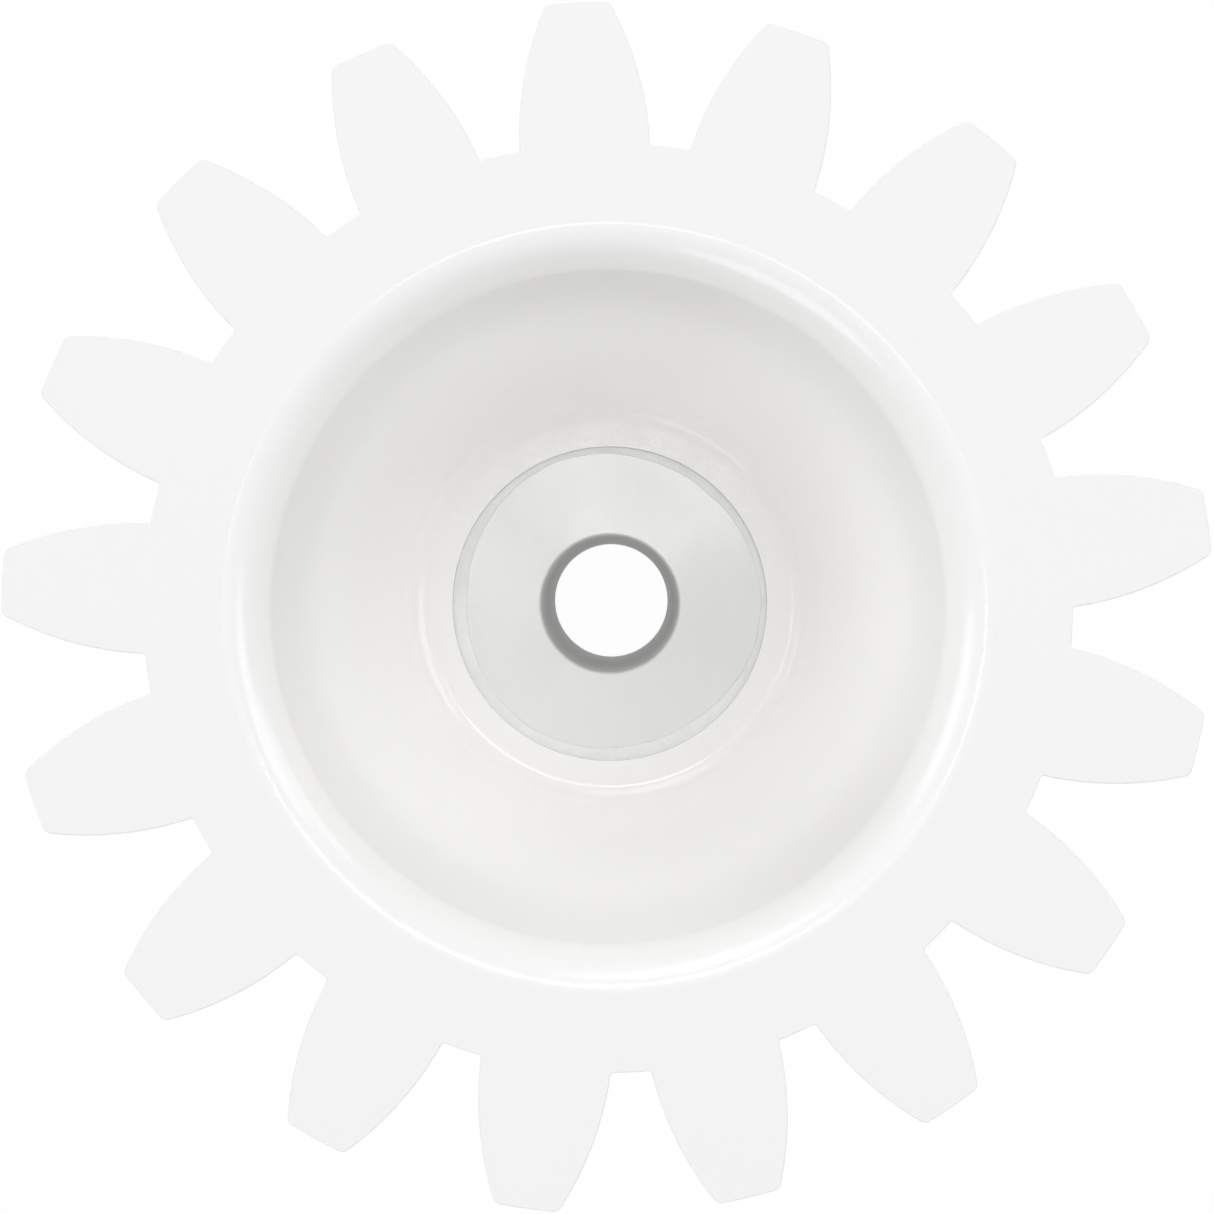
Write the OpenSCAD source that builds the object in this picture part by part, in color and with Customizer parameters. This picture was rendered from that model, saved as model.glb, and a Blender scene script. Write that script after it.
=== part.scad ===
// Moulded plastic spur gear with a deep recess in its front and a keyed hub core.
//
// The gear stands on the end of its rear boss. Z runs along the bore, from the end of the
// boss up to the recessed front. X runs through the middle of a tooth. Sizes are in
// millimetres and angles in degrees.

/* [Teeth] */
// Number of teeth
tooth_count = 17; // [16:1:24]
// Module: pitch diameter divided by the number of teeth
tooth_module = 3; // [2.75:0.25:4]
// Height of a tooth above the pitch circle, in modules
addendum_in_modules = 0.93; // [0.9:0.01:1.05]
// Depth of a tooth space below the pitch circle, in modules
dedendum_in_modules = 1.27; // [1.2:0.005:1.3]
// Thickness of a tooth at its root, in modules
root_thickness_in_modules = 2.035; // [1.95:0.005:2.1]
// Radius of the arc that each flank follows from root to tip, in modules
flank_radius_in_modules = 5.15; // [5:0.05:5.8]
// Radius of the fillet at the foot of a flank
root_fillet = 0.15; // [0.1:0.05:0.4]
// Radius of the rounding at the corners of a tip
tip_rounding = 0.45; // [0.2:0.05:0.6]
// Chamfer at both ends of each tip
tooth_end_chamfer = 0.2; // [0.1:0.05:0.5]

/* [Rim and web] */
// Width of the toothed rim along the axis
face_width = 30; // [26:1:40]
// Wall between the tooth roots and the recess, and behind it the rear groove
rim_wall = 3.65; // [3:0.05:5]
// Depth of the rear groove round the boss
groove_depth = 10; // [5:0.5:12]
// Width of the bottom of the rear groove
groove_bottom_width = 2; // [1:0.1:2.5]
// Draft of the rear groove's outer wall
groove_draft = 1; // [0.5:0.5:2]

/* [Front recess] */
// Depth of the recess, from the front face to its floor
recess_depth = 20; // [15:0.5:22]
// Radius of the rounding between the front face and the lip
mouth_round = 2.4; // [1.5:0.1:3]
// Slope of the rounding where it ends at the lip
mouth_end_slope = 65; // [50:1:75]
// Width of the fine lip between the rounding and the tapered wall
lip_width = 0.05; // [0.02:0.01:0.2]
// Width of the flat floor round the hub core
floor_width = 1.5; // [0.8:0.05:2]
// Fillet between the floor and the wall of the recess
floor_fillet = 0.9; // [0.5:0.1:2]

/* [Hub] */
// Diameter of the seat for the hub core's collar
seat_d = 18.2; // [16:0.1:20]
// Radial gap round the collar, seen as a fine line
collar_gap = 0.05; // [0.02:0.01:0.1]
// Thickness of the collar
collar_height = 3; // [2:0.5:6]
// Step from the seat in to the corners of the six-sided shank
shank_step = 0.55; // [0.3:0.05:1]
// Diameter of the shaft bore
bore_d = 8; // [6:0.5:10]
// Chamfer at both ends of the bore
bore_chamfer = 0.1; // [0.1:0.05:0.5]
// Wall of the rear boss, measured from the seat's diameter
boss_wall = 3.9; // [3:0.1:5]
// Length of the boss behind the rim
boss_length = 14; // [6:1:20]
// Chamfer round the end of the boss
boss_chamfer = 0.5; // [0.2:0.1:1]

/* [Hidden] */

$fn = 96;
FLANK_STEPS = 9;
CORNER_STEPS = 4;
ARC_STEPS = 6;
SHANK_SIDES = 6;
OVERCUT = 1;
PAST_TIP = 0.5;

pitch_r = tooth_module * tooth_count / 2;
tip_r = pitch_r + addendum_in_modules * tooth_module;
root_r = pitch_r - dedendum_in_modules * tooth_module;
tooth_pitch = 360 / tooth_count;
root_half = root_thickness_in_modules * tooth_module / 2;
flank_r = flank_radius_in_modules * tooth_module;

rim_rear = boss_length;
rim_front = boss_length + face_width;
floor_level = rim_front - recess_depth;

mouth_r = root_r - rim_wall;
seat_r = seat_d / 2;
floor_r = seat_r + floor_width;
boss_r = seat_r + boss_wall;
collar_r = seat_r - collar_gap;
shank_r = seat_r - shank_step;
bore_r = bore_d / 2;
seat_level = floor_level - collar_height;

// Point at a polar radius and angle.
function polar(r, a) = [r * cos(a), r * sin(a)];

// Points of a circular arc round c.
function arc(c, r, from, to, steps) =
    [for (i = [0 : steps]) c + polar(r, from + (to - from) * i / steps)];

// A point turned round the origin.
function turned(p, a) = [p[0] * cos(a) - p[1] * sin(a), p[0] * sin(a) + p[1] * cos(a)];

// The same points on the other side of the X axis, in reverse order.
function mirrored(points) =
    [for (i = [len(points) - 1 : -1 : 0]) [points[i][0], -points[i][1]]];

// The foot of the flank of a tooth that points along X. The flank sets out from there
// along X, and bends inwards on an arc round flank_centre.
foot_x = sqrt(pow(root_r, 2) - pow(root_half, 2));
flank_centre = [foot_x, root_half - flank_r];

// Centre of the rounding that touches both the flank and the tip circle.
function rounding_centre() =
    let (
        from_axis = tip_r - tip_rounding,
        from_flank_centre = flank_r - tip_rounding,
        between = norm(flank_centre),
        angle = acos((pow(from_axis, 2) + pow(between, 2) - pow(from_flank_centre, 2))
            / (2 * from_axis * between))
    )
    polar(from_axis, atan2(flank_centre[1], flank_centre[0]) + angle);

// Angle of the line from a to b.
function heading(a, b) = atan2(b[1] - a[1], b[0] - a[0]);

function fillet_points() =
    let (
        y = root_half + root_fillet,
        x = sqrt(pow(root_r + root_fillet, 2) - y * y)
    )
    arc([x, y], root_fillet, heading([0, 0], [x, y]) - 180, -90, CORNER_STEPS);

function flank_points(to) =
    [for (i = [1 : FLANK_STEPS]) flank_centre + polar(flank_r, 90 + (to - 90) * i / FLANK_STEPS)];

// The corner's points, with its last chord drawn on past the tip circle and then outwards.
function corner_points(centre, from) =
    let (
        points = arc(centre, tip_rounding, from, heading([0, 0], centre), CORNER_STEPS),
        chord = points[CORNER_STEPS] - points[CORNER_STEPS - 1],
        past_tip = points[CORNER_STEPS] + chord * PAST_TIP / norm(chord)
    )
    concat(
        [for (i = [1 : CORNER_STEPS - 1]) points[i]],
        [past_tip, polar(tip_r + 2 * OVERCUT, heading([0, 0], past_tip))]
    );

// One side of a tooth that points along X, from the root circle outwards.
function tooth_side() =
    let (
        centre = rounding_centre(),
        flank_end = heading(flank_centre, centre)
    )
    concat(
        fillet_points(),
        flank_points(flank_end),
        corner_points(centre, flank_end)
    );

// A space between two teeth, centred on X, as a cutter that reaches past both faces.
module tooth_space() {
    side = [for (p = tooth_side()) turned(p, -tooth_pitch / 2)];
    translate([0, 0, rim_rear - OVERCUT])
        linear_extrude(face_width + 2 * OVERCUT)
            polygon(concat(side, mirrored(side), [[root_r, 0]]));
}

// Half section of the front recess, from the front face inwards: a rounding, a fine lip,
// then a steep tapered wall that runs into the fillet of the floor.
function recess_section() =
    let (
        rounding_end = 90 + mouth_end_slope,
        rounding = arc([mouth_r, rim_front - mouth_round], mouth_round, 90, rounding_end, ARC_STEPS),
        wall_top = rounding[ARC_STEPS] - [lip_width, 0],
        fillet_centre = [floor_r, floor_level + floor_fillet],
        to_wall = wall_top - fillet_centre,
        wall_meets_fillet = atan2(to_wall[1], to_wall[0]) - acos(floor_fillet / norm(to_wall))
    )
    concat(
        rounding,
        [wall_top],
        arc(fillet_centre, floor_fillet, wall_meets_fillet, -90, ARC_STEPS),
        [[0, floor_level]]
    );

// Half section of the rear, from the axis outwards: the boss, then the groove round it.
function rear_section() =
    let (
        groove_top = rim_rear + groove_depth,
        groove_top_r = mouth_r - groove_depth * tan(groove_draft)
    )
    [
        [0, 0],
        [boss_r - boss_chamfer, 0],
        [boss_r, boss_chamfer],
        [boss_r, rim_rear],
        [groove_top_r - groove_bottom_width, groove_top],
        [groove_top_r, groove_top],
        [mouth_r, rim_rear]
    ];

// Half section of the ends of the teeth, from the rear face round to the front face.
function tooth_end_section() = [
    [tip_r - tooth_end_chamfer, rim_rear],
    [tip_r, rim_rear + tooth_end_chamfer],
    [tip_r, rim_front - tooth_end_chamfer],
    [tip_r - tooth_end_chamfer, rim_front]
];

// The round blank that the tooth spaces are cut from.
module blank() {
    rotate_extrude()
        polygon(concat(rear_section(), tooth_end_section(), recess_section()));
}

// The seat for the hub core: a round seat for the collar and a six-sided hole below it.
module core_seat() {
    translate([0, 0, seat_level])
        cylinder(r = seat_r, h = collar_height + OVERCUT);
    translate([0, 0, -OVERCUT])
        cylinder(r = shank_r, h = seat_level + 2 * OVERCUT, $fn = SHANK_SIDES);
}

// The shaft bore, with a chamfer at both ends.
module shaft_bore() {
    rotate_extrude()
        polygon([
            [0, -OVERCUT],
            [bore_r + bore_chamfer + OVERCUT, -OVERCUT],
            [bore_r, bore_chamfer],
            [bore_r, floor_level - bore_chamfer],
            [bore_r + bore_chamfer + OVERCUT, floor_level + OVERCUT],
            [0, floor_level + OVERCUT]
        ]);
}

// The moulding: teeth, rim, web and boss in one.
module gear_body() {
    color("whitesmoke")
        difference() {
            blank();
            for (i = [0 : tooth_count - 1])
                rotate([0, 0, (i + 0.5) * tooth_pitch])
                    tooth_space();
            core_seat();
        }
}

// The core that the body is moulded round: a collar on a six-sided shank, with the bore.
module hub_core() {
    color("gainsboro")
        difference() {
            union() {
                translate([0, 0, seat_level])
                    cylinder(r = collar_r, h = collar_height);
                cylinder(r = shank_r, h = seat_level + collar_height / 2, $fn = SHANK_SIDES);
            }
            shaft_bore();
        }
}

gear_body();
hub_core();
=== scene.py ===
"""A moulded plastic spur gear with a keyed hub core, on a pale stage.

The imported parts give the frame. Each operator below builds one piece over its part, or
the stage round it. Lengths are in metres. Z runs along the bore, from the end of the
rear boss up to the recessed front, and X runs through the middle of a tooth.
"""

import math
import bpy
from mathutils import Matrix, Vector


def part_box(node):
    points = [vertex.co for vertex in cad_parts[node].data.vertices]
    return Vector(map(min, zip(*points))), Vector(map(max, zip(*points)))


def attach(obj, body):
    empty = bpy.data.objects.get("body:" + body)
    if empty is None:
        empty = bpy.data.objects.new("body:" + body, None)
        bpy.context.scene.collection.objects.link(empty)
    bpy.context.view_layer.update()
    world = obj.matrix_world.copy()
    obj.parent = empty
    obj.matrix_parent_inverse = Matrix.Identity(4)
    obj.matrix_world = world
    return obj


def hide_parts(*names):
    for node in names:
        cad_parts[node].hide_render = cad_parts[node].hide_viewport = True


bl_info = {
    "name": "Moulded Spur Gear",
    "version": (1, 0, 0),
    "blender": (4, 5, 0),
    "location": "View3D > Sidebar > Spur Gear",
    "description": "Builds a moulded spur gear, its hub core and the stage round it",
    "category": "Object",
}

import bmesh
import bpy
from mathutils import Matrix, Vector

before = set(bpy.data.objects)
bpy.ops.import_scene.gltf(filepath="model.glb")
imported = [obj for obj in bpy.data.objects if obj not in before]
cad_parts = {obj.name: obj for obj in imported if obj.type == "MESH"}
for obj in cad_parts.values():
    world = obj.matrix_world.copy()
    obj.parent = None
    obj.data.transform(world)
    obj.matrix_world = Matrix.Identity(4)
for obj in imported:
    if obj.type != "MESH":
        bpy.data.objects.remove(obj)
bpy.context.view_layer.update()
GEAR_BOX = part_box("gear_body")
CORE_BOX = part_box("hub_core")

MM = 0.001
MERGE = 1e-7  # vertices that are closer than this are one
SAME = 1e-6  # heights and radii that differ by less are the same
INSET = 0.01 * MM  # the teeth stay this far inside the box of the solids
UP = (0, 0, 1)
SHARP = math.radians(35)  # edges with a larger angle are shaded sharp
CORNER = math.radians(20)  # edges with a larger angle count as corners of a tooth

# steps along each curve of the shapes
TIP_STEPS = 4
CORNER_STEPS = 6
FLANK_STEPS = 12
ROOT_FILLET_STEPS = 4
ROOT_LAND_STEPS = 3
TOOTH_FOOT_STEPS = 8
EDGE_STEPS = 3
MOUTH_STEPS = 14
FLARE_STEPS = 10
WALL_STEPS = 6
FLOOR_FILLET_STEPS = 12
CORE_STEPS = 192
CORE_FACE_STEPS = 9
FLASH_STEPS = 256
SOCKET_SIDE_CUTS = 11
SHANK_SIDE_CUTS = 15


# ---------------------------------------------------------------- settings


def length(name, description, value):
    """A length in metres that the sidebar shows in scene units."""
    return bpy.props.FloatProperty(
        name=name,
        description=description,
        default=value,
        min=0.0,
        precision=5,
        subtype="DISTANCE",
        unit="LENGTH",
    )


def angle(name, description, degrees):
    """An angle, given in degrees."""
    return bpy.props.FloatProperty(
        name=name,
        description=description,
        default=math.radians(degrees),
        subtype="ANGLE",
        unit="ROTATION",
    )


def factor(name, description, value):
    """A share from 0 to 1."""
    return bpy.props.FloatProperty(
        name=name,
        description=description,
        default=value,
        min=0.0,
        max=1.0,
        subtype="FACTOR",
    )


def colour(name, description, value):
    """A linear colour."""
    return bpy.props.FloatVectorProperty(
        name=name,
        description=description,
        default=value,
        min=0.0,
        max=1.0,
        size=3,
        subtype="COLOR",
    )


class ToothSizes(bpy.types.PropertyGroup):
    """Sizes of the teeth."""

    count: bpy.props.IntProperty(
        name="Teeth", description="Number of teeth", default=17, min=16, max=24
    )
    tip_radius: length("Tip radius", "Radius of the tip circle", GEAR_BOX[1].x - INSET)
    root_radius: length("Root radius", "Radius of the root circle", 21.69 * MM)
    root_half: length(
        "Half root thickness", "Half of a tooth's thickness at its root", 3.0525 * MM
    )
    flank_radius: length(
        "Flank radius", "Radius of the arc that a flank follows", 15.45 * MM
    )
    fillet: length("Root fillet", "Fillet at the foot of a flank", 0.15 * MM)
    corner: length("Tip rounding", "Rounding at the corners of a tip", 0.45 * MM)
    edge: length("Edge rounding", "Rounding along the edges of the teeth", 0.08 * MM)


class RimSizes(bpy.types.PropertyGroup):
    """Sizes of the rim, the front recess and the rear groove."""

    rear: length("Rear face", "Height of the rim's rear face", 14 * MM)
    front: length("Front face", "Height of the rim's front face", GEAR_BOX[1].z)
    mouth_radius: length("Mouth radius", "Radius at which the recess starts", 18.04 * MM)
    mouth_round: length("Mouth rounding", "Rounding round the mouth", 1.8 * MM)
    mouth_slope: angle("Mouth slope", "Slope at which the rounding ends", 56)
    flare: length("Flare", "Radius of the soft curve below the rounding", 3.8 * MM)
    wall_slope: angle("Wall slope", "Slope at which that curve ends", 74.5)
    floor_radius: length("Floor radius", "Radius of the flat part of the floor", 10.35 * MM)
    floor_fillet: length("Floor fillet", "Fillet between floor and wall", 1.4 * MM)
    groove_depth: length("Groove depth", "Depth of the rear groove", 10 * MM)
    groove_bottom: length("Groove bottom", "Width of the groove's bottom", 2 * MM)
    groove_draft: angle("Groove draft", "Draft of the groove's outer wall", 1)


class HubSizes(bpy.types.PropertyGroup):
    """Sizes of the hub core, its seat and the rear boss."""

    face: length("Core face", "Height of the core's front face", CORE_BOX[1].z)
    seat_radius: length("Seat radius", "Radius of the core's seat", 9.1 * MM)
    collar_radius: length("Collar radius", "Radius of the core's collar", 9.09 * MM)
    collar_height: length("Collar height", "Height of the collar", 3 * MM)
    shank_radius: length("Shank radius", "Radius to the shank's corners", 8.55 * MM)
    shank_play: length("Shank play", "Play at the corners of the shank", 0.01 * MM)
    bore_radius: length("Bore radius", "Radius of the shaft bore", 4 * MM)
    bore_chamfer: length("Bore chamfer", "Chamfer at both ends of the bore", 0.1 * MM)
    boss_radius: length("Boss radius", "Radius of the rear boss", 13 * MM)
    boss_chamfer: length("Boss chamfer", "Chamfer round the end of the boss", 0.5 * MM)
    crown: length("Crown", "How far the core's face falls towards its edge", 0.30 * MM)
    joint: length("Joint line", "Width of the grimy line round the core", 0.1 * MM)
    flash_width: length("Flash width", "Mean width of the flash on the core", 0.44 * MM)
    flash_shift: length("Flash shift", "How much wider it is on one side", 0.17 * MM)
    flash_lobes: length("Flash lobes", "Height of the lobes of its inner edge", 0.14 * MM)
    flash_height: length("Flash height", "Thickness of the flash", 0.05 * MM)
    flash_slope: length("Flash slope", "Width of the flash's sloping edge", 0.08 * MM)


class Finish(bpy.types.PropertyGroup):
    """Colours and gloss of the plastics, with painted light and painted shade in the recess
    and the bore.
    """

    body: colour("Body colour", "Colour of the moulding", (0.963, 0.955, 0.941))
    body_cool: colour("Cool streaks", "Cooler shade in the moulding", (0.953, 0.953, 0.937))
    core: colour("Core colour", "Colour of the hub core", (0.806, 0.814, 0.792))
    core_dark: colour("Core shade", "Darker shade in the hub core", (0.786, 0.794, 0.772))
    # painted shade: the bore's wall is darker, as a deep hole lies in shade
    bore: colour("Bore colour", "Colour of the bore's wall", (0.62, 0.623, 0.60))
    flash: colour("Flash colour", "Colour of the thin flash", (0.868, 0.876, 0.846))
    joint: colour("Joint line", "Colour of the joint round the core", (0.82, 0.83, 0.79))
    flash_line: colour("Flash line", "Colour of grime along the flash", (0.56, 0.57, 0.49))
    # painted light: the recess's wall is lighter and warmer than the body, standing in for
    # light bounced round the deep recess
    recess: colour("Recess colour", "Colour of the recess's wall", (0.984, 0.975, 0.958))
    # painted light: just below the mouth, where the wall falls in shade, it is lighter
    # still
    painted_light_upper_wall: colour("Upper wall", "Shade just below the mouth", (0.994, 0.986, 0.970))
    # painted shade: the recess's floor is darker, where shade falls at its bottom
    painted_shade_floor: colour("Recess floor", "Duller shade of the floor", (0.924, 0.916, 0.898))
    body_scuffed: colour("Scuffs", "Duller shade in the recess", (0.965, 0.955, 0.935))
    body_roughness: factor("Body roughness", "Roughness of the faces", 0.6)
    recess_roughness: factor("Recess roughness", "Roughness of the recess", 0.12)
    core_roughness: factor("Core roughness", "Roughness of the hub core", 0.22)
    bore_roughness: factor("Bore roughness", "Roughness of the bore's wall", 0.42)


class StageSettings(bpy.types.PropertyGroup):
    """Floor, lamps and camera."""

    floor_size: length("Floor size", "Side of the floor", 2.4)
    floor_white: factor("Floor white", "Share of plain white in the floor", 0.98)
    sky: factor("Sky", "Level of the light from all sides", 0.368)
    lens: length("Lens", "Focal length", 52.81 * MM)
    height: length("Camera height", "Distance from lens to front face", 83 * MM)
    roll: angle("Camera roll", "Turn of the camera about the bore's axis", 13.01)


class GearSettings(bpy.types.PropertyGroup):
    """All settings of the spur gear."""

    tooth: bpy.props.PointerProperty(type=ToothSizes)
    rim: bpy.props.PointerProperty(type=RimSizes)
    hub: bpy.props.PointerProperty(type=HubSizes)
    finish: bpy.props.PointerProperty(type=Finish)
    stage: bpy.props.PointerProperty(type=StageSettings)


# ---------------------------------------------------------------- modelling


def polar(radius, turn):
    return Vector((radius * math.cos(turn), radius * math.sin(turn), 0))


def heading(a, b):
    """Angle of the line from a to b, seen from above."""
    return math.atan2(b.y - a.y, b.x - a.x)


def meeting_point(centre, from_axis, from_centre):
    """The point at these distances from the axis and from centre, on centre's left."""
    between = centre.length
    turn = math.acos(
        (from_axis**2 + between**2 - from_centre**2) / (2 * from_axis * between)
    )
    return polar(from_axis, heading(Vector((0, 0, 0)), centre) + turn)


def radius_of(vert):
    return math.hypot(vert.co.x, vert.co.y)


def verts_in(geometry):
    return [g for g in geometry if isinstance(g, bmesh.types.BMVert)]


def edges_in(geometry):
    return [g for g in geometry if isinstance(g, bmesh.types.BMEdge)]


def sweep(bm, vert, centre, turn, steps):
    """Carries vert round centre, drawing an arc behind it, and returns the last vertex."""
    made = bmesh.ops.spin(
        bm,
        geom=[vert],
        cent=centre,
        axis=UP,
        angle=turn,
        steps=steps,
        use_duplicate=False,
    )
    return verts_in(made["geom_last"])[0]


def follow(bm, edges, section):
    """Extrudes a ring of edges through each radius and height of section in turn."""
    for radius, height in section:
        made = bmesh.ops.extrude_edge_only(bm, edges=edges)["geom"]
        for v in verts_in(made):
            scale = radius / radius_of(v)
            v.co = (v.co.x * scale, v.co.y * scale, height)
        verts = set(verts_in(made))
        edges = [e for e in edges_in(made) if verts.issuperset(e.verts)]
    return edges


def arc_section(radius, height, bend, start, end, steps):
    """Radii and heights along an arc of the half section, start and end in degrees."""
    turns = [math.radians(start + (end - start) * i / steps) for i in range(steps + 1)]
    return [(radius + bend * math.cos(t), height + bend * math.sin(t)) for t in turns]


def rim_edges(bm, radius, height):
    """Edges whose two ends lie at one radius and height."""

    def lies(v):
        return abs(radius_of(v) - radius) < SAME and abs(v.co.z - height) < SAME

    return [e for e in bm.edges if lies(e.verts[0]) and lies(e.verts[1])]


def open_edges(bm, height):
    """Edges of the holes that are left at one height."""
    return [
        e
        for e in bm.edges
        if e.is_boundary and all(abs(v.co.z - height) < SAME for v in e.verts)
    ]


def round_edges(bm, edges, width, segments):
    bmesh.ops.bevel(
        bm,
        geom=edges,
        offset=width,
        offset_type="OFFSET",
        segments=segments,
        profile=0.5,
        affect="EDGES",
        clamp_overlap=False,
        material=-1,
    )


def join_hexagon(bm, corner_radius, low, high, cuts):
    """Joins the round holes at two heights by six flat walls, with a corner on X.

    Two rings in one plane bridge the wrong way round, so each ring of the hexagon is
    drawn clear of the round one, bridged, and then brought level with it.
    """
    clear = 1 * MM
    round_low, round_high = open_edges(bm, low), open_edges(bm, high)
    corner_on_x = Matrix.Rotation(math.radians(30), 4, "Z")
    bmesh.ops.create_circle(
        bm,
        cap_ends=False,
        radius=corner_radius,
        segments=6,
        matrix=Matrix.Translation((0, 0, low - clear)) @ corner_on_x,
    )
    bmesh.ops.subdivide_edges(bm, edges=loose_edges(bm), cuts=cuts)
    lower = loose_edges(bm)
    bmesh.ops.bridge_loops(bm, edges=round_low + lower)
    made = bmesh.ops.extrude_edge_only(bm, edges=lower)["geom"]
    for v in {v for e in lower for v in e.verts}:
        v.co.z = low
    for v in verts_in(made):
        v.co.z = high - clear
    bmesh.ops.bridge_loops(bm, edges=round_high + open_edges(bm, high - clear))
    for v in verts_in(made):
        v.co.z = high


def loose_edges(bm):
    """Edges that no face uses yet."""
    return [e for e in bm.edges if e.is_wire]


def close_surface(bm):
    bmesh.ops.remove_doubles(bm, verts=bm.verts, dist=MERGE)
    bmesh.ops.recalc_face_normals(bm, faces=bm.faces)


def add_piece(name, bm, materials):
    """Makes an object of a finished shape, smooth but for its sharp edges."""
    mesh = bpy.data.meshes.new(name)
    bm.to_mesh(mesh)
    bm.free()
    mesh.shade_smooth()
    mesh.set_sharp_from_angle(angle=SHARP)
    for material in materials:
        mesh.materials.append(material)
    piece = bpy.data.objects.new(name, mesh)
    bpy.context.scene.collection.objects.link(piece)
    weighted = piece.modifiers.new("Even shading", "WEIGHTED_NORMAL")
    weighted.keep_sharp = True
    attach(piece, "root")
    return piece


def draw_tooth(bm, tooth):
    """Draws one tooth from root land to root land, pointing along X, at height 0.

    Returns the angle from X at which its root fillet meets the root circle.
    """
    axis = Vector((0, 0, 0))
    foot_x = math.sqrt(tooth.root_radius**2 - tooth.root_half**2)
    foot = Vector((foot_x, tooth.root_half, 0))
    flank = foot - Vector((0, tooth.flank_radius, 0))
    corner = meeting_point(
        flank, tooth.tip_radius - tooth.corner, tooth.flank_radius - tooth.corner
    )
    fillet = meeting_point(
        flank, tooth.root_radius + tooth.fillet, tooth.flank_radius + tooth.fillet
    )
    corner_turn = heading(axis, corner)
    flank_end = heading(flank, corner)
    flank_start = heading(flank, fillet)
    land_turn = heading(axis, fillet)

    v = bm.verts.new((tooth.tip_radius, 0, 0))
    v = sweep(bm, v, axis, corner_turn, TIP_STEPS)
    v = sweep(bm, v, corner, flank_end - corner_turn, CORNER_STEPS)
    v = sweep(bm, v, flank, flank_start - flank_end, FLANK_STEPS)
    v = sweep(bm, v, fillet, land_turn - flank_start, ROOT_FILLET_STEPS)
    sweep(bm, v, axis, math.pi / tooth.count - land_turn, ROOT_LAND_STEPS)
    bmesh.ops.mirror(
        bm,
        geom=bm.verts[:] + bm.edges[:],
        matrix=Matrix.Identity(4),
        merge_dist=MERGE,
        axis="Y",
    )
    return land_turn


def close_end(bm, tooth, level, land_turn, section):
    """Closes the end of a tooth at this height: its face and its part of section."""
    foot = next(
        v
        for v in bm.verts
        if abs(v.co.z - level) < MERGE
        and (v.co - polar(tooth.root_radius, land_turn)).xy.length < MERGE
    )
    sweep(bm, foot, (0, 0, 0), -2 * land_turn, TOOTH_FOOT_STEPS)
    bmesh.ops.remove_doubles(bm, verts=bm.verts, dist=MERGE)

    def round_face(e):
        middle = (e.verts[0].co + e.verts[1].co) / 2
        flat = all(abs(v.co.z - level) < MERGE for v in e.verts)
        return flat and abs(math.atan2(middle.y, middle.x)) < land_turn

    bmesh.ops.contextual_create(bm, geom=[e for e in bm.edges if round_face(e)])
    follow(bm, rim_edges(bm, tooth.root_radius, level), section)


def recess_section(rim, hub):
    """The front recess from its mouth down to the bottom of the core's seat."""
    slope = math.degrees(rim.mouth_slope)
    rounding = arc_section(
        rim.mouth_radius,
        rim.front - rim.mouth_round,
        rim.mouth_round,
        90,
        90 + slope,
        MOUTH_STEPS,
    )
    slant = rim.flare - rim.mouth_round
    flare = arc_section(
        rounding[0][0] + slant * math.sin(rim.mouth_slope),
        rim.front - rim.mouth_round - slant * math.cos(rim.mouth_slope),
        rim.flare,
        90 + slope,
        90 + math.degrees(rim.wall_slope),
        FLARE_STEPS,
    )
    floor = hub.face
    wall_top = flare[-1]
    across = wall_top[0] - rim.floor_radius
    up = wall_top[1] - floor - rim.floor_fillet
    meets = math.degrees(
        math.atan2(up, across) - math.acos(rim.floor_fillet / math.hypot(across, up))
    )
    fillet = arc_section(
        rim.floor_radius,
        floor + rim.floor_fillet,
        rim.floor_fillet,
        meets,
        -90,
        FLOOR_FILLET_STEPS,
    )
    wall = [
        (
            wall_top[0] + (fillet[0][0] - wall_top[0]) * i / WALL_STEPS,
            wall_top[1] + (fillet[0][1] - wall_top[1]) * i / WALL_STEPS,
        )
        for i in range(1, WALL_STEPS)
    ]
    seat_bottom = floor - hub.collar_height
    return (
        rounding
        + flare[1:]
        + wall
        + fillet
        + [(hub.seat_radius, floor), (hub.seat_radius, seat_bottom)]
    )


def rear_section(rim, hub):
    """The rear from the rim's inner edge through the groove to the end of the boss."""
    top = rim.rear + rim.groove_depth
    outer_top = rim.mouth_radius - rim.groove_depth * math.tan(rim.groove_draft)
    return [
        (rim.mouth_radius, rim.rear),
        (outer_top, top),
        (outer_top - rim.groove_bottom, top),
        (hub.boss_radius, rim.rear),
        (hub.boss_radius, hub.boss_chamfer),
        (hub.boss_radius - hub.boss_chamfer, 0),
    ]


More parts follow.
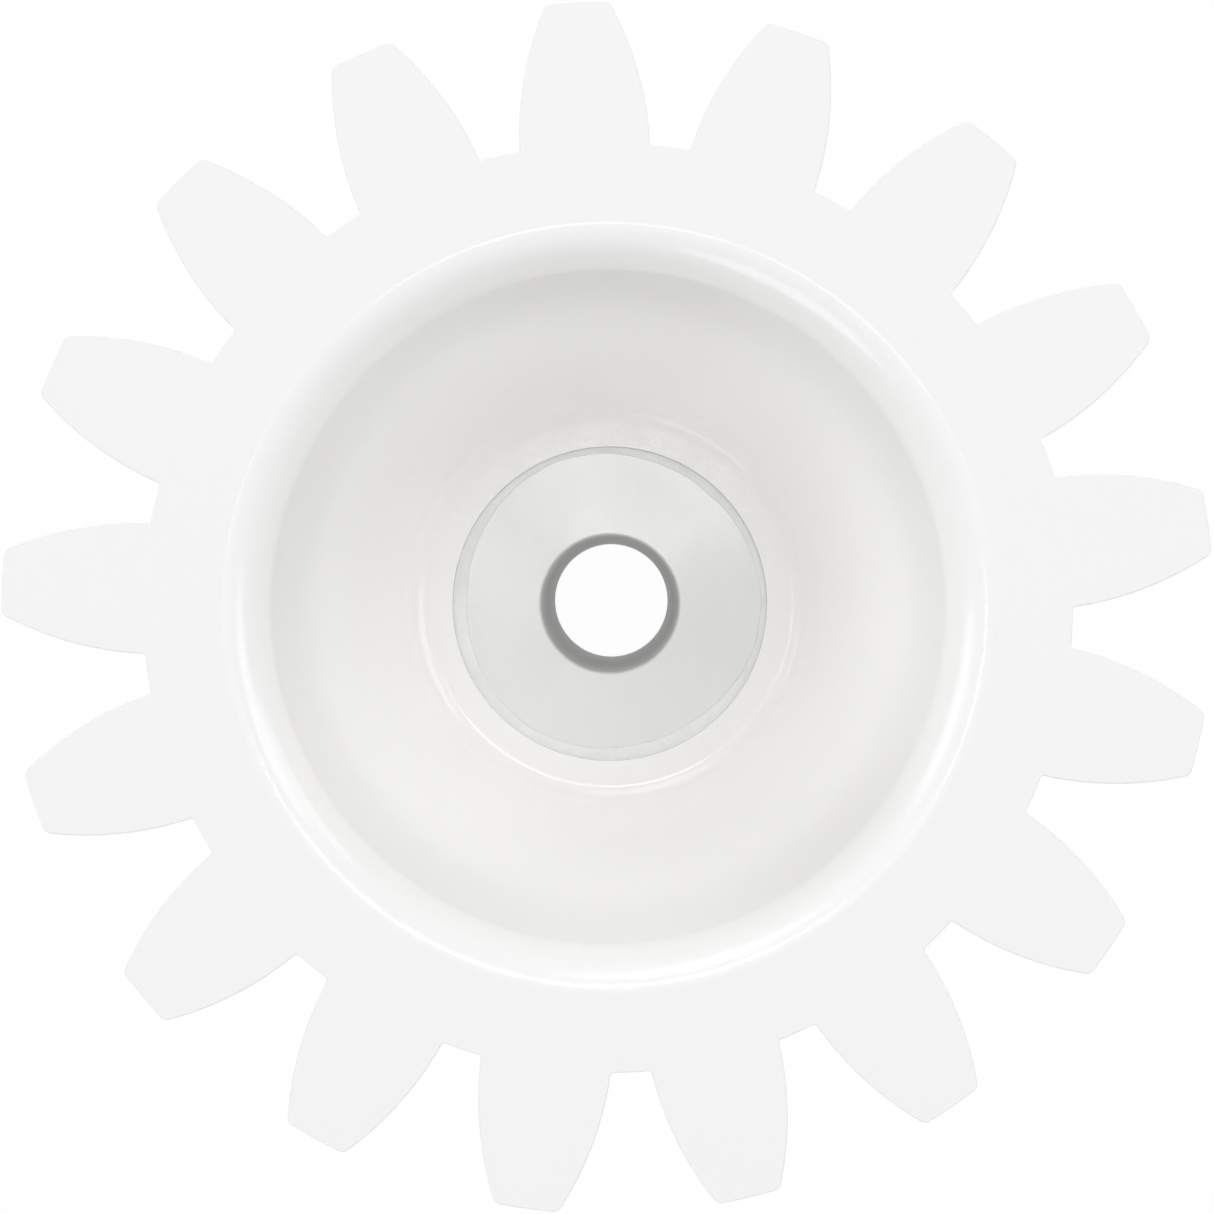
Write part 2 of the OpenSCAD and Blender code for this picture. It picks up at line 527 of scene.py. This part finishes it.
def shape_moulding(settings):
    """The toothed body: one tooth with its part of the rim, repeated round the axis."""
    tooth, rim, hub = settings.tooth, settings.rim, settings.hub
    bm = bmesh.new()
    land_turn = draw_tooth(bm, tooth)
    bmesh.ops.translate(bm, verts=bm.verts, vec=(0, 0, rim.front))
    made = bmesh.ops.extrude_edge_only(bm, edges=bm.edges[:])["geom"]
    bmesh.ops.translate(bm, verts=verts_in(made), vec=(0, 0, rim.rear - rim.front))
    close_end(bm, tooth, rim.front, land_turn, recess_section(rim, hub))
    close_end(bm, tooth, rim.rear, land_turn, rear_section(rim, hub))

    bmesh.ops.spin(
        bm,
        geom=bm.verts[:] + bm.edges[:] + bm.faces[:],
        cent=(0, 0, 0),
        axis=UP,
        angle=2 * math.pi * (tooth.count - 1) / tooth.count,
        steps=tooth.count - 1,
        use_duplicate=True,
    )
    close_surface(bm)

    socket_radius = hub.shank_radius + hub.shank_play
    shoulder = hub.face - hub.collar_height
    join_hexagon(bm, socket_radius, 0, shoulder, SOCKET_SIDE_CUTS)
    close_surface(bm)

    corners = [
        e
        for e in bm.edges
        if e.is_manifold and e.is_convex and e.calc_face_angle() > CORNER
    ]

    def at_end(e, level):
        return all(abs(v.co.z - level) < MERGE for v in e.verts)

    toothed = [
        e
        for e in corners
        if all(radius_of(v) > tooth.root_radius - MERGE for v in e.verts)
        and (at_end(e, rim.front) or at_end(e, rim.rear))
    ]
    round_edges(bm, toothed, tooth.edge, EDGE_STEPS)
    close_surface(bm)
    return bm


def core_face(hub, radius):
    """Height of the core's face, a very flat cone, at a radius."""
    width = hub.collar_radius - hub.bore_radius
    return hub.face - hub.crown * (radius - hub.bore_radius) / width


def shape_core(settings):
    """The hub core: a bored collar with a slightly coned face, on a six-sided shank."""
    hub = settings.hub
    chamfer, bore, edge = hub.bore_chamfer, hub.bore_radius, hub.collar_radius
    shoulder = hub.face - hub.collar_height
    bm = bmesh.new()
    bmesh.ops.create_circle(
        bm,
        cap_ends=False,
        radius=edge,
        segments=CORE_STEPS,
        matrix=Matrix.Translation((0, 0, shoulder)),
    )

    inner = bore + chamfer
    outer = edge - hub.joint
    shares = [i / CORE_FACE_STEPS for i in range(CORE_FACE_STEPS + 1)]
    radii = [edge] + [outer + (inner - outer) * share for share in shares]
    face = [(radius, core_face(hub, radius)) for radius in radii]
    rings_in_bore = [(bore, hub.face * share) for share in (0.9, 0.5)]
    through = [
        (bore, face[-1][1] - chamfer),
        *rings_in_bore,
        (bore, chamfer),
        (inner, 0),
    ]
    follow(bm, loose_edges(bm), face + through)
    join_hexagon(bm, hub.shank_radius, 0, shoulder, SHANK_SIDE_CUTS)
    close_surface(bm)
    joint_bottom = hub.face - 2 * hub.crown
    for f in bm.faces:
        at_rim = all(radius_of(v) > outer - MERGE for v in f.verts)
        f.material_index = int(at_rim and f.calc_center_median().z > joint_bottom)
    return bm


FLASH_NARROW_SIDE = math.radians(65)
FLASH_LOBES = 3
FLASH_LOBE_TURN = math.radians(27)
FLASH_RIPPLES = (
    # share of a lobe, waves round the edge, phase
    (0.15, 11, 1.3),
    (0.12, 23, 0.4),
)


def flash_edge(hub, turn):
    """Radius of the flash's inner edge at an angle: wider on one side, with soft lobes."""
    shift = hub.flash_shift * math.cos(turn - FLASH_NARROW_SIDE)
    lobes = hub.flash_lobes * math.cos(FLASH_LOBES * turn - FLASH_LOBE_TURN)
    ripple = sum(
        share * math.cos(waves * turn + phase) for share, waves, phase in FLASH_RIPPLES
    )
    mean = hub.collar_radius - hub.joint - hub.flash_width
    return mean + shift + lobes * (1 + ripple)


def shape_flash(settings):
    """The thin film of plastic that crept over the edge of the core."""
    hub = settings.hub
    outer = hub.collar_radius - hub.joint
    above, below = 0.5 * hub.flash_height, -0.7 * hub.flash_height
    low = core_face(hub, outer) - above
    high = low + hub.flash_height
    bm = bmesh.new()
    bmesh.ops.create_circle(
        bm,
        cap_ends=False,
        radius=outer,
        segments=FLASH_STEPS,
        matrix=Matrix.Translation((0, 0, low)),
    )

    def lay(v, radius, lift):
        """Moves a vertex out or in to a radius, and to this lift from the core's face."""
        scale = radius / radius_of(v)
        v.co = (v.co.x * scale, v.co.y * scale, core_face(hub, radius) + lift)

    top = [(outer, high), (outer - hub.flash_slope, high)]
    edges = follow(bm, loose_edges(bm), top)
    for v in {v for e in edges for v in e.verts}:
        lay(v, flash_edge(hub, math.atan2(v.co.y, v.co.x)), above)
    made = bmesh.ops.extrude_edge_only(bm, edges=edges)["geom"]
    edge_verts = set(verts_in(made))
    for v in edge_verts:
        lay(v, radius_of(v) - hub.flash_slope, below)
    for f in bm.faces:
        f.material_index = int(any(v in edge_verts for v in f.verts))
    inner_ring = [e for e in edges_in(made) if edge_verts.issuperset(e.verts)]
    bmesh.ops.bridge_loops(bm, edges=open_edges(bm, low) + inner_ring)
    close_surface(bm)
    return bm


# ---------------------------------------------------------------- materials


class Nodes:
    """Adds nodes to a tree and links them, with plain calls."""

    def __init__(self, tree):
        self.tree = tree

    def add(self, kind, inputs=None, **settings):
        node = self.tree.nodes.new(kind)
        for key, value in settings.items():
            setattr(node, key, value)
        for key, value in (inputs or {}).items():
            self.feed(node, key, value)
        return node

    def feed(self, node, key, value):
        if isinstance(value, bpy.types.NodeSocket):
            self.tree.links.new(value, node.inputs[key])
        else:
            node.inputs[key].default_value = value

    def math(self, operation, *values):
        node = self.add("ShaderNodeMath", operation=operation)
        for i, value in enumerate(values):
            self.feed(node, i, value)
        return node.outputs[0]

    def vector(self, operation, *values):
        node = self.add("ShaderNodeVectorMath", operation=operation)
        for i, value in enumerate(values):
            self.feed(node, "Scale" if operation == "SCALE" and i == 1 else i, value)
        return node.outputs["Value" if operation in ("LENGTH", "DOT_PRODUCT") else 0]

    def spread(self, value, low, high, to_low=0.0, to_high=1.0):
        """Maps low..high smoothly to to_low..to_high."""
        node = self.add(
            "ShaderNodeMapRange",
            {"Value": value, 1: low, 2: high, 3: to_low, 4: to_high},
            interpolation_type="SMOOTHSTEP",
        )
        return node.outputs[0]

    def blend(self, share, a, b):
        """Mixes two colours."""
        node = self.add("ShaderNodeMix", data_type="RGBA")
        self.feed(node, 0, share)
        for key, value in ((6, a), (7, b)):
            self.feed(node, key, value)
        return node.outputs[2]

    def noise(self, vector, scale, detail=3.0, roughness=0.5):
        node = self.add(
            "ShaderNodeTexNoise",
            {"Vector": vector, "Scale": scale, "Detail": detail, "Roughness": roughness},
        )
        return node.outputs[0]


def effect(name, inputs, outputs, build):
    """A shader node group, made once. build(nodes, inputs) returns the outputs."""
    if name in bpy.data.node_groups:
        return bpy.data.node_groups[name]
    tree = bpy.data.node_groups.new(name, "ShaderNodeTree")
    for label, kind, value in inputs:
        socket = tree.interface.new_socket(label, in_out="INPUT", socket_type=kind)
        if value is not None:
            socket.default_value = value
    for label, kind in outputs:
        tree.interface.new_socket(label, in_out="OUTPUT", socket_type=kind)
    nodes = Nodes(tree)
    start = nodes.add("NodeGroupInput")
    end = nodes.add("NodeGroupOutput")
    results = build(nodes, {s.name: s for s in start.outputs if s.name})
    for label, value in results.items():
        nodes.feed(end, label, value)
    return tree


FLOAT, VECTOR = "NodeSocketFloat", "NodeSocketVector"


def flattened(n, place):
    """The coordinates with their height taken away."""
    return n.vector("MULTIPLY", place, (1.0, 1.0, 0.0))


def from_axis(n, place):
    """Distance from the bore's axis."""
    return n.vector("LENGTH", flattened(n, place))


def mottle_effect():
    """Slow clouds and a fine grain, as light plays in a thick white moulding."""

    def build(n, i):
        clouds = n.noise(i["Vector"], i["Cloud scale"], detail=3.0, roughness=0.55)
        grain = n.noise(i["Vector"], i["Grain scale"], detail=4.0, roughness=0.6)
        cloud_share, grain_share = 0.65, 0.35
        slow = n.math("MULTIPLY", clouds, cloud_share)
        both = n.math("MULTIPLY_ADD", grain, grain_share, slow)
        return {"Mask": n.spread(both, low=0.36, high=0.64)}

    inputs = (
        ("Vector", VECTOR, None),
        ("Cloud scale", FLOAT, 90.0),
        ("Grain scale", FLOAT, 1400.0),
    )
    return effect("Mottle", inputs, (("Mask", FLOAT),), build)


def streak_effect():
    """Fine straight streaks that run outwards from the axis and down the walls."""

    def build(n, i):
        outwards = n.vector("NORMALIZE", flattened(n, i["Vector"]))
        around = n.vector("SCALE", outwards, i["Fineness"])
        along = n.vector("SCALE", i["Vector"], i["Breaks"])
        noise = n.noise(n.vector("ADD", around, along), 1.0, detail=3.0, roughness=0.65)
        return {"Mask": n.spread(noise, low=0.3, high=0.7)}

    inputs = (
        ("Vector", VECTOR, None),
        ("Fineness", FLOAT, 60.0),
        ("Breaks", FLOAT, 110.0),
    )
    return effect("Drawn streaks", inputs, (("Mask", FLOAT),), build)


def nick_effect():
    """Short straight nicks, each in its own place and direction."""

    def build(n, i):
        cells = n.add(
            "ShaderNodeTexVoronoi", {"Vector": i["Vector"], "Scale": i["Scale"]}
        )
        offset = n.vector("SUBTRACT", i["Vector"], cells.outputs["Position"])
        spun = n.vector("SUBTRACT", cells.outputs["Color"], (0.5, 0.5, 0.5))
        way = n.vector("NORMALIZE", spun)
        along = n.vector("DOT_PRODUCT", offset, way)
        sideways = n.vector("SUBTRACT", offset, n.vector("SCALE", way, along))
        across = n.vector("LENGTH", sideways)
        thin = n.math("LESS_THAN", across, i["Width"])
        short = n.math("LESS_THAN", n.math("ABSOLUTE", along), i["Length"])
        pick = n.add("ShaderNodeTexWhiteNoise", {"Vector": cells.outputs["Position"]})
        chosen = n.math("GREATER_THAN", pick.outputs["Value"], i["Rarity"])
        return {"Mask": n.math("MULTIPLY", n.math("MULTIPLY", thin, short), chosen)}

    inputs = (
        ("Vector", VECTOR, None),
        ("Scale", FLOAT, 1100.0),
        ("Length", FLOAT, 0.0004),
        ("Width", FLOAT, 0.00004),
        ("Rarity", FLOAT, 0.90),
    )
    return effect("Nicks", inputs, (("Mask", FLOAT),), build)


def ring_effect():
    """Rings round the axis, as a turned face or a turned mould leaves them."""

    def build(n, i):
        radius = from_axis(n, i["Vector"])
        drift = n.math("MULTIPLY", n.noise(i["Vector"], 60.0, detail=1.0), i["Drift"])
        steps = n.math("DIVIDE", n.math("ADD", radius, drift), i["Pitch"])
        place = n.add("ShaderNodeCombineXYZ", {0: steps}).outputs[0]
        return {"Height": n.noise(place, 1.0, detail=2.0, roughness=0.6)}

    inputs = (
        ("Vector", VECTOR, None),
        ("Pitch", FLOAT, 0.0002),
        ("Drift", FLOAT, 0.0),
    )
    return effect("Turned rings", inputs, (("Height", FLOAT),), build)


def speck_effect():
    """A few tiny dark specks of dust and burnt plastic."""

    def build(n, i):
        cells = n.add(
            "ShaderNodeTexVoronoi", {"Vector": i["Vector"], "Scale": i["Scale"]}
        )
        near = n.spread(cells.outputs["Distance"], i["Size"], 0.0)
        pick = n.add("ShaderNodeSeparateColor", {0: cells.outputs["Color"]})
        chosen = n.math("GREATER_THAN", pick.outputs[0], i["Rarity"])
        return {"Mask": n.math("MULTIPLY", near, chosen)}

    inputs = (
        ("Vector", VECTOR, None),
        ("Scale", FLOAT, 500.0),
        ("Size", FLOAT, 0.06),
        ("Rarity", FLOAT, 0.97),
    )
    return effect("Specks", inputs, (("Mask", FLOAT),), build)


def clear_nodes(owner):
    """Empties the node tree of a material or world, ready for new nodes."""
    owner.use_nodes = True
    owner.node_tree.nodes.clear()
    return Nodes(owner.node_tree)


def start_material(name, ior=1.48):
    """A new material with a plastic shader: its nodes, shader and object coordinates."""
    material = bpy.data.materials.new(name)
    n = clear_nodes(material)
    shader = n.add("ShaderNodeBsdfPrincipled", {"IOR": ior})
    end = n.add("ShaderNodeOutputMaterial")
    n.feed(end, "Surface", shader.outputs[0])
    place = n.add("ShaderNodeTexCoord").outputs["Object"]
    return material, n, shader, place


def place_effect(n, group, values):
    node = n.add("ShaderNodeGroup", node_tree=group)
    for key, value in values.items():
        n.feed(node, key, value)
    return node.outputs[0]


def feed_bump(n, shader, height, strength, distance):
    """Bends the shader's normal by a height."""
    bump = n.add(
        "ShaderNodeBump", {"Strength": strength, "Distance": distance, "Height": height}
    )
    n.feed(shader, "Normal", bump.outputs[0])


def rgba(value):
    return (*value, 1.0)


# where the zones of the moulding's finish, its painted light and its painted shade start
# and end
RECESS_BOTTOM = 23.7 * MM
MOUTH_EDGE = 0.12 * MM
PAINTED_LIGHT_UPPER_RADII = (13.5 * MM, 15.3 * MM)
WALL_RADII = (17.0 * MM, 15.5 * MM)
MOUTH_RADII = (16.6 * MM, 17.3 * MM)
PAINTED_SHADE_FLOOR_HEIGHTS = (24.8 * MM, 24.05 * MM)
FILLET_HEIGHTS = (25.4 * MM, 24.6 * MM)

FINE_GRAIN = 2600.0
UNEVEN_GLOSS = 0.04
NICK_WHITE = (0.98, 0.98, 0.97)
SPECK_BROWN = (0.35, 0.33, 0.28)
CORE_SPECK_BROWN = (0.30, 0.30, 0.25)


def body_material(settings):
    """White moulded plastic: satin on the faces, glossier and scuffed in the recess, whose
    wall has painted light and whose floor has painted shade.
    """
    finish, rim = settings.finish, settings.rim
    material, n, shader, place = start_material("White moulded plastic")
    radius = from_axis(n, place)
    height = n.add("ShaderNodeSeparateXYZ", {0: place}).outputs[2]
    inside = n.spread(radius, rim.mouth_radius, rim.mouth_radius - MOUTH_EDGE)
    recess = n.math("MULTIPLY", inside, n.math("GREATER_THAN", height, RECESS_BOTTOM))
    # the recess's wall, where painted light lifts the colour
    wall = n.math("MULTIPLY", n.spread(radius, *WALL_RADII), recess)
    # painted light just below the mouth
    upper = n.math("MULTIPLY", n.spread(radius, *PAINTED_LIGHT_UPPER_RADII), recess)
    # painted shade on the recess's floor
    bottom = n.math("MULTIPLY", n.spread(height, *PAINTED_SHADE_FLOOR_HEIGHTS), recess)

    mottle = place_effect(n, mottle_effect(), {"Vector": place})
    streaks = place_effect(n, streak_effect(), {"Vector": place})
    nicks = place_effect(n, nick_effect(), {"Vector": place})
    specks = place_effect(n, speck_effect(), {"Vector": place})

    base = n.blend(mottle, rgba(finish.body), rgba(finish.body_cool))
    layers = (
        # how much of it shows, share, colour
        # painted light on the recess's wall
        (wall, 0.9, finish.recess),
        # painted light just below the mouth
        (upper, 1.0, finish.painted_light_upper_wall),
        # painted shade on the recess's floor
        (bottom, 1.0, finish.painted_shade_floor),
        (n.math("MULTIPLY", streaks, recess), 0.15, finish.body_scuffed),
        (n.math("MULTIPLY", nicks, recess), 0.5, NICK_WHITE),
        (specks, 0.5, SPECK_BROWN),
    )
    for mask, share, shade in layers:
        base = n.blend(n.math("MULTIPLY", mask, share), base, rgba(shade))
    n.feed(shader, "Base Color", base)
    n.feed(shader, "Sheen Weight", 0.8)
    n.feed(shader, "Sheen Roughness", 0.5)

    gloss = n.spread(recess, 0.0, 1.0, finish.body_roughness, finish.recess_roughness)
    n.feed(shader, "Roughness", n.math("MULTIPLY_ADD", mottle, UNEVEN_GLOSS, gloss))

    # the roundings of the recess are the most uneven, so their highlights waver
    rounded = n.math(
        "MAXIMUM", n.spread(radius, *MOUTH_RADII), n.spread(height, *FILLET_HEIGHTS)
    )
    on_rounding = n.math("MULTIPLY", rounded, recess)
    face_depth, wall_depth, added_depth, nick_depth = 0.25, 0.12, 3.0, -0.5
    elsewhere = n.spread(recess, 0.0, 1.0, face_depth, wall_depth)
    depth = n.math("MULTIPLY_ADD", on_rounding, added_depth, elsewhere)
    grain = n.noise(place, FINE_GRAIN, detail=2.0, roughness=0.6)
    peel = n.math("MULTIPLY", grain, depth)
    relief = n.math("MULTIPLY_ADD", nicks, n.math("MULTIPLY", recess, nick_depth), peel)
    feed_bump(n, shader, relief, strength=0.25, distance=0.02 * MM)
    return material


def core_material(settings):
    """The hub core's greyer plastic, with a turned face and painted shade in the bore."""
    finish, hub = settings.finish, settings.hub
    material, n, shader, place = start_material("Grey-white core plastic", ior=1.6)
    mottle = place_effect(
        n, mottle_effect(), {"Vector": place, "Cloud scale": 220.0, "Grain scale": 5200.0}
    )
    rings = place_effect(
        n, ring_effect(), {"Vector": place, "Pitch": 0.13 * MM, "Drift": 0.06 * MM}
    )
    specks = place_effect(n, speck_effect(), {"Vector": place, "Scale": 700.0})
    turned = n.math("SUBTRACT", rings, 0.5)
    shade = n.math("MULTIPLY_ADD", turned, 0.9, mottle)
    base = n.blend(n.spread(shade, 0.0, 1.0), rgba(finish.core), rgba(finish.core_dark))
    chamfer_end = hub.bore_radius + hub.bore_chamfer
    in_bore = n.spread(from_axis(n, place), chamfer_end, hub.bore_radius + 0.01 * MM)
    # painted shade down the bore
    base = n.blend(in_bore, base, rgba(finish.bore))
    base = n.blend(n.math("MULTIPLY", specks, 0.6), base, rgba(CORE_SPECK_BROWN))
    n.feed(shader, "Base Color", base)
    on_face = n.math("MULTIPLY_ADD", mottle, UNEVEN_GLOSS, finish.core_roughness)
    on_wall = n.math("MULTIPLY", in_bore, finish.bore_roughness)
    n.feed(shader, "Roughness", n.math("MAXIMUM", on_face, on_wall))
    grain = n.math("MULTIPLY", n.noise(place, FINE_GRAIN, detail=2.0), 0.3)
    relief = n.math("MULTIPLY_ADD", rings, 0.8, grain)
    feed_bump(n, shader, relief, strength=0.2, distance=0.02 * MM)
    return material


def flash_material(settings):
    """The flash: the body's plastic, thin enough for the core to show through."""
    finish = settings.finish
    material, n, shader, place = start_material("Thin flash")
    mottle = place_effect(
        n, mottle_effect(), {"Vector": place, "Cloud scale": 300.0, "Grain scale": 4000.0}
    )
    base = n.blend(mottle, rgba(finish.flash), rgba(finish.core))
    n.feed(shader, "Base Color", base)
    n.feed(shader, "Roughness", n.spread(mottle, 0.0, 1.0, to_low=0.5, to_high=0.6))
    grain = n.noise(place, 1800.0)
    feed_bump(n, shader, grain, strength=0.2, distance=0.01 * MM)
    return material


def line_material(name, grimy, clean):
    """Grime along a fine line of the core's face, thicker in some places."""
    material, n, shader, place = start_material(name)
    patches = place_effect(
        n, mottle_effect(), {"Vector": place, "Cloud scale": 350.0, "Grain scale": 2500.0}
    )
    n.feed(shader, "Base Color", n.blend(patches, rgba(grimy), rgba(clean)))
    n.feed(shader, "Roughness", n.spread(patches, 0.0, 1.0, to_low=0.6, to_high=0.7))
    grain = n.noise(place, 3000.0)
    feed_bump(n, shader, grain, strength=0.2, distance=0.01 * MM)
    return material


def joint_material(settings):
    """The fine joint between the core and its seat."""
    finish = settings.finish
    return line_material("Joint line", finish.joint, finish.flash)


def flash_line_material(settings):
    """The grimy inner edge of the flash."""
    finish = settings.finish
    return line_material("Flash line", finish.flash_line, finish.core_dark)


WHITE = (1.0, 1.0, 1.0, 1.0)


def shown_as_white(n):
    """1 where a ray from the camera, a reflection or glass looks at a surface."""
    path = n.add("ShaderNodeLightPath")
    seen = n.math("MAXIMUM", path.outputs["Is Camera Ray"], path.outputs["Is Glossy Ray"])
    return n.math("MAXIMUM", seen, path.outputs["Is Transmission Ray"])


def floor_material(settings):
    """A pale floor that looks white but still takes the part's shadow."""
    material = bpy.data.materials.new("Pale floor")
    n = clear_nodes(material)
    place = n.add("ShaderNodeTexCoord").outputs["Object"]
    paper = n.blend(n.noise(place, 9.0), rgba((0.86,) * 3), rgba((0.88,) * 3))
    matt = n.add("ShaderNodeBsdfDiffuse", {"Color": paper})
    white = n.add("ShaderNodeEmission", {"Color": WHITE, "Strength": 1.0})
    share = n.math("MULTIPLY", shown_as_white(n), settings.stage.floor_white)
    mixed = n.add("ShaderNodeMixShader")
    n.feed(mixed, 0, share)
    n.feed(mixed, 1, matt.outputs[0])
    n.feed(mixed, 2, white.outputs[0])
    end = n.add("ShaderNodeOutputMaterial")
    n.feed(end, "Surface", mixed.outputs[0])
    return material


# ---------------------------------------------------------------- operators


class SPURGEAR_OT_moulding(bpy.types.Operator):
    """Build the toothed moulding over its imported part"""

    bl_idname = "spur_gear.moulding"
    bl_label = "Moulding"

    def execute(self, context):
        settings = context.scene.spur_gear
        piece = add_piece(
            "moulded_gear",
            shape_moulding(settings),
            [body_material(settings)],
        )
        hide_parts("gear_body")
        return {"FINISHED"}


class SPURGEAR_OT_core(bpy.types.Operator):
    """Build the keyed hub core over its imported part"""

    bl_idname = "spur_gear.core"
    bl_label = "Hub core"

    def execute(self, context):
        settings = context.scene.spur_gear
        piece = add_piece(
            "hub_insert",
            shape_core(settings),
            [core_material(settings), joint_material(settings)],
        )
        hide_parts("hub_core")
        return {"FINISHED"}


class SPURGEAR_OT_flash(bpy.types.Operator):
    """Build the thin flash on the core's face"""

    bl_idname = "spur_gear.flash"
    bl_label = "Flash on the core"

    def execute(self, context):
        settings = context.scene.spur_gear
        add_piece(
            "core_flash",
            shape_flash(settings),
            [flash_material(settings), flash_line_material(settings)],
        )
        return {"FINISHED"}


LAMPS = (
    # name, heading from the camera's right, lean from the vertical, size, power;
    # in degrees, metres and watts
    ("right_softbox", 15, 44, 0.60, 2.20),
    ("left_softbox", 240, 56, 0.60, 2.00),
    ("back_softbox", 105, 44, 0.60, 1.95),
    ("side_softbox", 165, 56, 0.60, 1.00),
    ("low_side_softbox", 165, 68, 0.60, 1.45),
    ("low_softbox", 30, 68, 0.60, 1.55),
    ("upper_right_lamp", 43, 12, 0.09, 0.32),
    ("top_lamp", 108, 12, 0.10, 0.58),
    ("top_right_lamp", 70, 12, 0.20, 0.40),
    ("left_lamp", 169, 12, 0.08, 0.24),
)
LAMP_COLOUR = (0.980, 0.985, 1.0)
LAMP_DISTANCE = 1.1

SENSOR_WIDTH = 36  # in millimetres, as Blender keeps it
LENS_SHIFT = (-0.00906, -0.0173)  # in sensor widths
CAMERA_ASIDE = (0.475 * MM, 1.023 * MM)  # from the bore's axis, before the roll
CLIP = (0.005, 20)

# light bounces many times before it leaves a deep white recess
DIFFUSE_BOUNCES = 12


class SPURGEAR_OT_stage(bpy.types.Operator):
    """Build the floor, the lamps, the sky and the camera"""

    bl_idname = "spur_gear.stage"
    bl_label = "Stage"

    def execute(self, context):
        settings = context.scene.spur_gear
        self.add_floor(context, settings)
        self.add_sky(context, settings.stage)
        for name, turn, lean, size, power in LAMPS:
            lamp = bpy.data.lights.new(name, "AREA")
            lamp.shape = "DISK"
            lamp.size = size
            lamp.energy = power
            lamp.color = LAMP_COLOUR
            self.add_lamp(context, settings, lamp, math.radians(turn), math.radians(lean))
        self.add_camera(context, settings)
        self.set_view(context)
        return {"FINISHED"}

    def add_lamp(self, context, settings, lamp, turn, lean):
        """Hangs a lamp in this direction from the front face, and aims it there."""
        holder = bpy.data.objects.new(lamp.name, lamp)
        context.scene.collection.objects.link(holder)
        aside = polar(math.sin(lean), turn + settings.stage.roll)
        aim = aside + Vector((0, 0, math.cos(lean)))
        holder.location = Vector((0, 0, settings.rim.front)) + aim * LAMP_DISTANCE
        holder.rotation_euler = aim.to_track_quat("Z", "Y").to_euler()

    def add_floor(self, context, settings):
        bm = bmesh.new()
        bmesh.ops.create_grid(
            bm, x_segments=2, y_segments=2, size=settings.stage.floor_size / 2
        )
        mesh = bpy.data.meshes.new("pale_floor")
        bm.to_mesh(mesh)
        bm.free()
        mesh.materials.append(floor_material(settings))
        floor = bpy.data.objects.new("pale_floor", mesh)
        context.scene.collection.objects.link(floor)

    def add_sky(self, context, stage):
        world = bpy.data.worlds.new("soft_sky")
        n = clear_nodes(world)
        seen = shown_as_white(n)
        level = n.spread(seen, 0.0, 1.0, stage.sky, 1.0)
        tint = n.blend(seen, rgba(LAMP_COLOUR), WHITE)
        sky = n.add("ShaderNodeBackground", {"Color": tint, "Strength": level})
        end = n.add("ShaderNodeOutputWorld")
        n.feed(end, "Surface", sky.outputs[0])
        context.scene.world = world

    def add_camera(self, context, settings):
        stage = settings.stage
        camera = bpy.data.cameras.new("camera")
        camera.sensor_width = SENSOR_WIDTH
        camera.lens = stage.lens / MM
        camera.shift_x, camera.shift_y = LENS_SHIFT
        camera.clip_start, camera.clip_end = CLIP
        holder = bpy.data.objects.new("camera", camera)
        context.scene.collection.objects.link(holder)
        spot = Vector((*CAMERA_ASIDE, settings.rim.front + stage.height))
        spot.rotate(Matrix.Rotation(stage.roll, 3, "Z"))
        holder.location = spot
        holder.rotation_euler = (0, 0, stage.roll)
        context.scene.camera = holder

    def set_view(self, context):
        context.scene.view_settings.view_transform = "Standard"
        context.scene.cycles.diffuse_bounces = DIFFUSE_BOUNCES


class SPURGEAR_PT_sidebar(bpy.types.Panel):
    """Lists the pieces of the spur gear"""

    bl_label = "Spur Gear"
    bl_idname = "SPURGEAR_PT_sidebar"
    bl_space_type = "VIEW_3D"
    bl_region_type = "UI"
    bl_category = "Spur Gear"

    def draw(self, context):
        settings = context.scene.spur_gear
        for operator in OPERATORS:
            self.layout.operator(operator.bl_idname)
        sizes = (settings.tooth, settings.rim, settings.hub)
        for group in (*sizes, settings.finish, settings.stage):
            box = self.layout.box()
            for key in group.__annotations__:
                box.prop(group, key)


OPERATORS = (
    SPURGEAR_OT_moulding,
    SPURGEAR_OT_core,
    SPURGEAR_OT_flash,
    SPURGEAR_OT_stage,
)
CLASSES = (
    ToothSizes,
    RimSizes,
    HubSizes,
    Finish,
    StageSettings,
    GearSettings,
    *OPERATORS,
    SPURGEAR_PT_sidebar,
)


def register():
    for cls in CLASSES:
        bpy.utils.register_class(cls)
    bpy.types.Scene.spur_gear = bpy.props.PointerProperty(type=GearSettings)


def unregister():
    del bpy.types.Scene.spur_gear
    for cls in reversed(CLASSES):
        bpy.utils.unregister_class(cls)


def main():
    """Builds every piece in order."""
    register()
    bpy.ops.spur_gear.moulding()
    bpy.ops.spur_gear.core()
    bpy.ops.spur_gear.flash()
    bpy.ops.spur_gear.stage()


if __name__ == "__main__":
    main()
